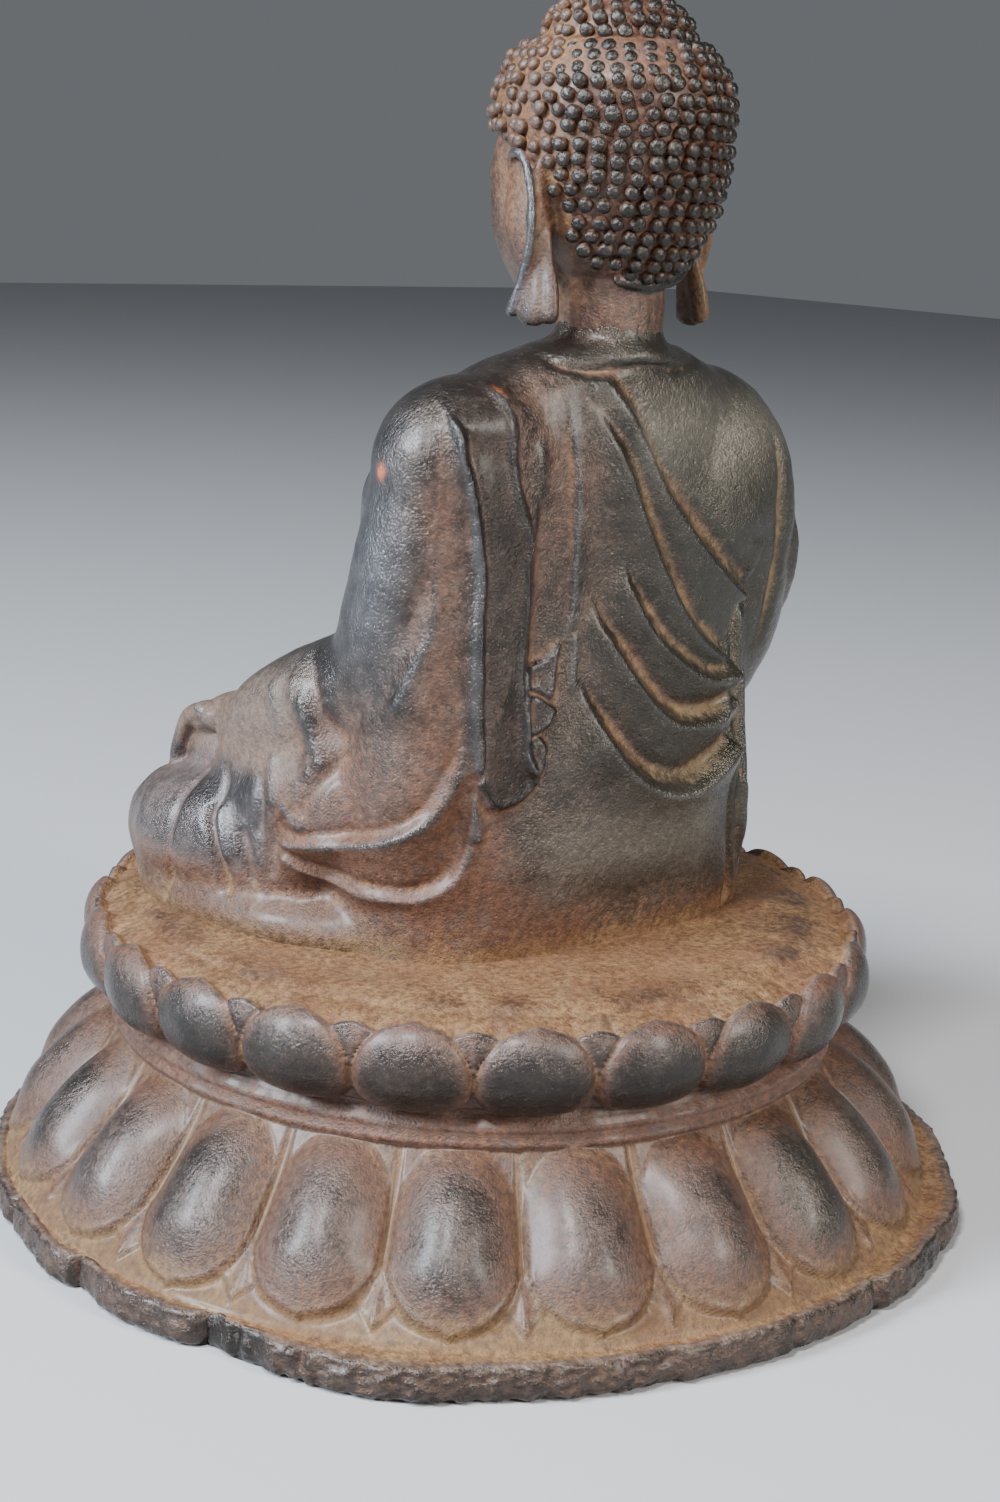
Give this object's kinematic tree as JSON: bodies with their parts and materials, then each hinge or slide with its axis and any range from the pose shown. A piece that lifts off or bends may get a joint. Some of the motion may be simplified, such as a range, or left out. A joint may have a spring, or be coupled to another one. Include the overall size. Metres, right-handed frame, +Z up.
{
  "type": "seated buddha figure on a lotus throne",
  "caption": "Robed buddha seated on a round double lotus throne, cast in iron in one piece, with rows of curls and rusted petals.",
  "frame": {"origin": "centre of the flat underside of the foot plate", "axes": "+Z up, the figure looks along -Y, its left hand is towards +X"},
  "size_m": [0.1963, 0.1943, 0.2315],
  "materials": {
    "cast_iron": "dark rubbed iron with brown and orange rust in the hollows"
  },
  "bodies": {
    "root": {"iron_buddha": "cast_iron"}
  },
  "joints": []
}
